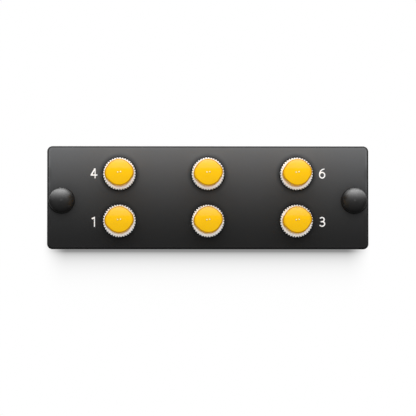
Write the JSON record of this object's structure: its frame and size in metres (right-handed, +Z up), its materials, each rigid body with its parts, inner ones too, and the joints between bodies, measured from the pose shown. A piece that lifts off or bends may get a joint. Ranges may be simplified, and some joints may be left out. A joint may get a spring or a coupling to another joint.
{
  "type": "fibre adapter panel",
  "caption": "Flat panel plate holding rows of round threaded fibre adapters with knurled nuts and push-on dust caps, latched at both ends by push-pull plungers.",
  "frame": {"origin": "middle of the plate's rear face, which lies against the enclosure", "axes": "+X to the right across the panel as seen from the front, +Y back into the enclosure, +Z up"},
  "size_m": [0.109, 0.0247, 0.035],
  "materials": {
    "powder_coat": "fine satin black powder coat on steel",
    "nickel": "turned brass with bright nickel plate",
    "black_steel": "spring steel, black oxide",
    "zirconia": "polished white zirconia",
    "yellow_cap": "soft glossy yellow polyethylene",
    "black_nylon": "moulded black nylon",
    "plunger_nylon": "moulded black nylon with a smooth sheen"
  },
  "bodies": {
    "root": {"panel_plate": "powder_coat", "panel_nuts": "nickel", "lock_washers": "black_steel", "grommet_left": "black_nylon", "grommet_right": "black_nylon", "adapter_1_body": "nickel", "adapter_1_front_holder": "nickel", "adapter_1_rear_holder": "nickel", "adapter_1_sleeve": "zirconia", "adapter_2_body": "nickel", "adapter_2_front_holder": "nickel", "adapter_2_rear_holder": "nickel", "adapter_2_sleeve": "zirconia", "adapter_3_body": "nickel", "adapter_3_front_holder": "nickel", "adapter_3_rear_holder": "nickel", "adapter_3_sleeve": "zirconia", "adapter_4_body": "nickel", "adapter_4_front_holder": "nickel", "adapter_4_rear_holder": "nickel", "adapter_4_sleeve": "zirconia", "adapter_5_body": "nickel", "adapter_5_front_holder": "nickel", "adapter_5_rear_holder": "nickel", "adapter_5_sleeve": "zirconia", "adapter_6_body": "nickel", "adapter_6_front_holder": "nickel", "adapter_6_rear_holder": "nickel", "adapter_6_sleeve": "zirconia"},
    "front_cap_1_body": {"front_cap_1": "yellow_cap"},
    "rear_cap_1_body": {"rear_cap_1": "yellow_cap"},
    "front_cap_2_body": {"front_cap_2": "yellow_cap"},
    "rear_cap_2_body": {"rear_cap_2": "yellow_cap"},
    "front_cap_3_body": {"front_cap_3": "yellow_cap"},
    "rear_cap_3_body": {"rear_cap_3": "yellow_cap"},
    "front_cap_4_body": {"front_cap_4": "yellow_cap"},
    "rear_cap_4_body": {"rear_cap_4": "yellow_cap"},
    "front_cap_5_body": {"front_cap_5": "yellow_cap"},
    "rear_cap_5_body": {"rear_cap_5": "yellow_cap"},
    "front_cap_6_body": {"front_cap_6": "yellow_cap"},
    "rear_cap_6_body": {"rear_cap_6": "yellow_cap"},
    "plunger_left_body": {"plunger_left": "plunger_nylon"},
    "plunger_right_body": {"plunger_right": "plunger_nylon"}
  },
  "joints": [
    {"name": "front_cap_1_pull", "type": "slide", "parent": "root", "child": "front_cap_1_body", "axis": [0, -1, 0], "range_m": [0, 0.015]},
    {"name": "rear_cap_1_pull", "type": "slide", "parent": "root", "child": "rear_cap_1_body", "axis": [0, 1, 0], "range_m": [0, 0.015]},
    {"name": "front_cap_2_pull", "type": "slide", "parent": "root", "child": "front_cap_2_body", "axis": [0, -1, 0], "range_m": [0, 0.015]},
    {"name": "rear_cap_2_pull", "type": "slide", "parent": "root", "child": "rear_cap_2_body", "axis": [0, 1, 0], "range_m": [0, 0.015]},
    {"name": "front_cap_3_pull", "type": "slide", "parent": "root", "child": "front_cap_3_body", "axis": [0, -1, 0], "range_m": [0, 0.015]},
    {"name": "rear_cap_3_pull", "type": "slide", "parent": "root", "child": "rear_cap_3_body", "axis": [0, 1, 0], "range_m": [0, 0.015]},
    {"name": "front_cap_4_pull", "type": "slide", "parent": "root", "child": "front_cap_4_body", "axis": [0, -1, 0], "range_m": [0, 0.015]},
    {"name": "rear_cap_4_pull", "type": "slide", "parent": "root", "child": "rear_cap_4_body", "axis": [0, 1, 0], "range_m": [0, 0.015]},
    {"name": "front_cap_5_pull", "type": "slide", "parent": "root", "child": "front_cap_5_body", "axis": [0, -1, 0], "range_m": [0, 0.015]},
    {"name": "rear_cap_5_pull", "type": "slide", "parent": "root", "child": "rear_cap_5_body", "axis": [0, 1, 0], "range_m": [0, 0.015]},
    {"name": "front_cap_6_pull", "type": "slide", "parent": "root", "child": "front_cap_6_body", "axis": [0, -1, 0], "range_m": [0, 0.015]},
    {"name": "rear_cap_6_pull", "type": "slide", "parent": "root", "child": "rear_cap_6_body", "axis": [0, 1, 0], "range_m": [0, 0.015]},
    {"name": "plunger_left_pull", "type": "slide", "parent": "root", "child": "plunger_left_body", "axis": [0, -1, 0], "range_m": [0, 0.0045]},
    {"name": "plunger_right_pull", "type": "slide", "parent": "root", "child": "plunger_right_body", "axis": [0, -1, 0], "range_m": [0, 0.0045]}
  ]
}
